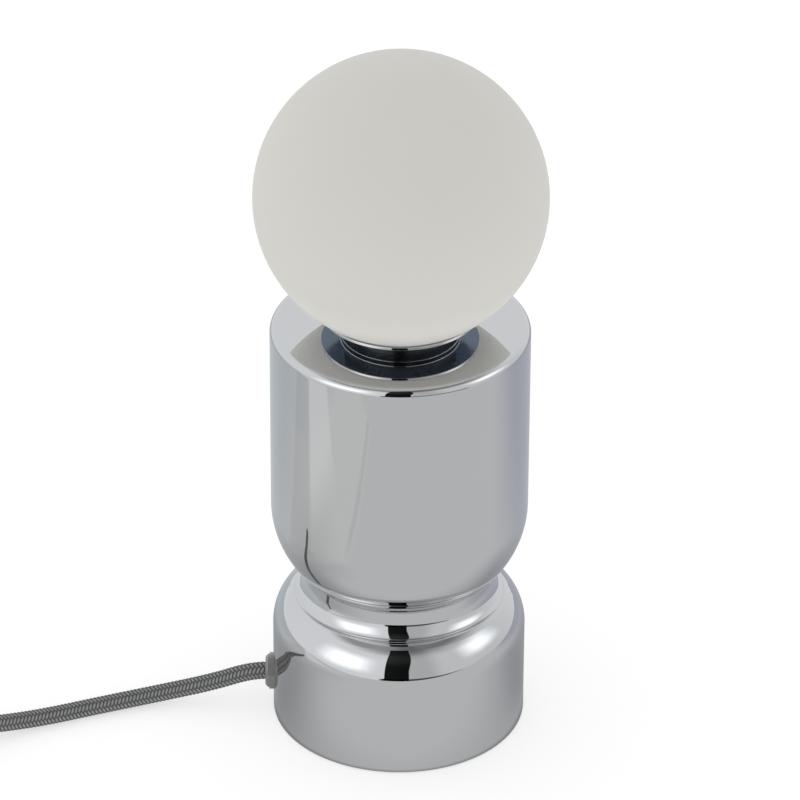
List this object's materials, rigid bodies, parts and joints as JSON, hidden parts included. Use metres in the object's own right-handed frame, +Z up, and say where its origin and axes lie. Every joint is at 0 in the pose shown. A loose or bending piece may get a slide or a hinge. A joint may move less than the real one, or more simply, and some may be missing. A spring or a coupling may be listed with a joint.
{
  "type": "table lamp",
  "caption": "Table lamp with an opal glass globe on a turned chrome body with a cove waist, a braided cord, in-line rocker switch and flat plug.",
  "frame": {"origin": "middle of the foot pad's underside, on the lamp's axis", "axes": "+Z up along the lamp's axis, -X towards the side where the cord leaves, -Y towards the viewer"},
  "size_m": [0.4337, 0.1207, 0.3054],
  "materials": {
    "chrome_plate": "mirror-bright plating",
    "zinc_steel": "zinc-plated, satin",
    "foam_pad": "black closed-cell foam",
    "cast_weight": "rough cast",
    "opal_glass": "opal white, satin etched",
    "silicone": "translucent white silicone",
    "holder_ceramic": "unglazed",
    "white_plastic": "moulded, matte",
    "bulb_glass": "frosted",
    "gland_plastic": "smoky translucent, moulded",
    "braided_cord": "grey textile braid",
    "core_insulation": "soft insulation",
    "brown_insulation": "soft insulation",
    "blue_insulation": "soft insulation",
    "switch_plastic": "black, fine spark texture",
    "rocker_plastic": "black, polished",
    "spacer_plastic": "black, polished",
    "contact_brass": "bare brass",
    "tie_band": "black band",
    "boot_plastic": "black flexible plastic"
  },
  "bodies": {
    "lamp": {"base_brackets": "zinc_steel", "base_pad": "foam_pad", "base_screws": "zinc_steel", "base_shell": "chrome_plate", "base_weight": "cast_weight", "cable_gland": "gland_plastic", "cord_coil": "braided_cord", "cord_cores": "core_insulation", "cord_tail": "braided_cord", "cord_tie": "tie_band", "cord_to_coil": "braided_cord", "cord_to_plug": "braided_cord", "cord_to_switch": "braided_cord", "cup_shell": "chrome_plate", "gallery": "chrome_plate", "gallery_spacer": "spacer_plastic", "gland_nut": "gland_plastic", "lampholder": "holder_ceramic", "lampholder_bridge": "zinc_steel", "lampholder_screws": "zinc_steel", "live_wire": "brown_insulation", "lower_nut": "zinc_steel", "lower_washer": "zinc_steel", "neutral_wire": "blue_insulation", "plug_body": "switch_plastic", "plug_boot": "boot_plastic", "plug_pin_sleeves": "boot_plastic", "plug_pins": "zinc_steel", "switch_contacts": "contact_brass", "switch_lower_shell": "switch_plastic", "switch_screws": "zinc_steel", "switch_upper_shell": "switch_plastic", "terminal_block": "white_plastic", "terminal_screws": "zinc_steel", "threaded_tube": "zinc_steel", "top_cover": "chrome_plate", "upper_nut": "zinc_steel", "upper_washer": "zinc_steel", "waist_collar": "chrome_plate"},
    "globe_seal": {"globe_gasket": "silicone"},
    "globe": {"glass_globe": "opal_glass", "globe_neck": "opal_glass"},
    "bulb": {"bulb_base": "white_plastic", "bulb_glass": "bulb_glass", "bulb_pins": "zinc_steel"},
    "rocker": {"switch_rocker": "rocker_plastic"}
  },
  "joints": [
    {"name": "globe_lift", "type": "slide", "parent": "lamp", "child": "globe_seal", "axis": [0, 0, 1], "range_m": [0, 0.004]},
    {"name": "globe_twist", "type": "hinge", "parent": "globe_seal", "child": "globe", "pos_m": [0, 0, 0.2453], "axis": [0, 0, 1], "range_deg": [0, 360]},
    {"name": "bulb_pull", "type": "slide", "parent": "lamp", "child": "bulb", "axis": [0, 0, 1], "range_m": [0, 0.01]},
    {"name": "rocker_tilt", "type": "hinge", "parent": "lamp", "child": "rocker", "pos_m": [-0.22194, -0.04322, 0.0143], "axis": [-0.2588, 0.9659, 0], "range_deg": [0, 16]}
  ],
  "couplings": [
    {"joint": "globe_lift", "follows": "globe_twist", "m_per_rad": 0.000636}
  ]
}
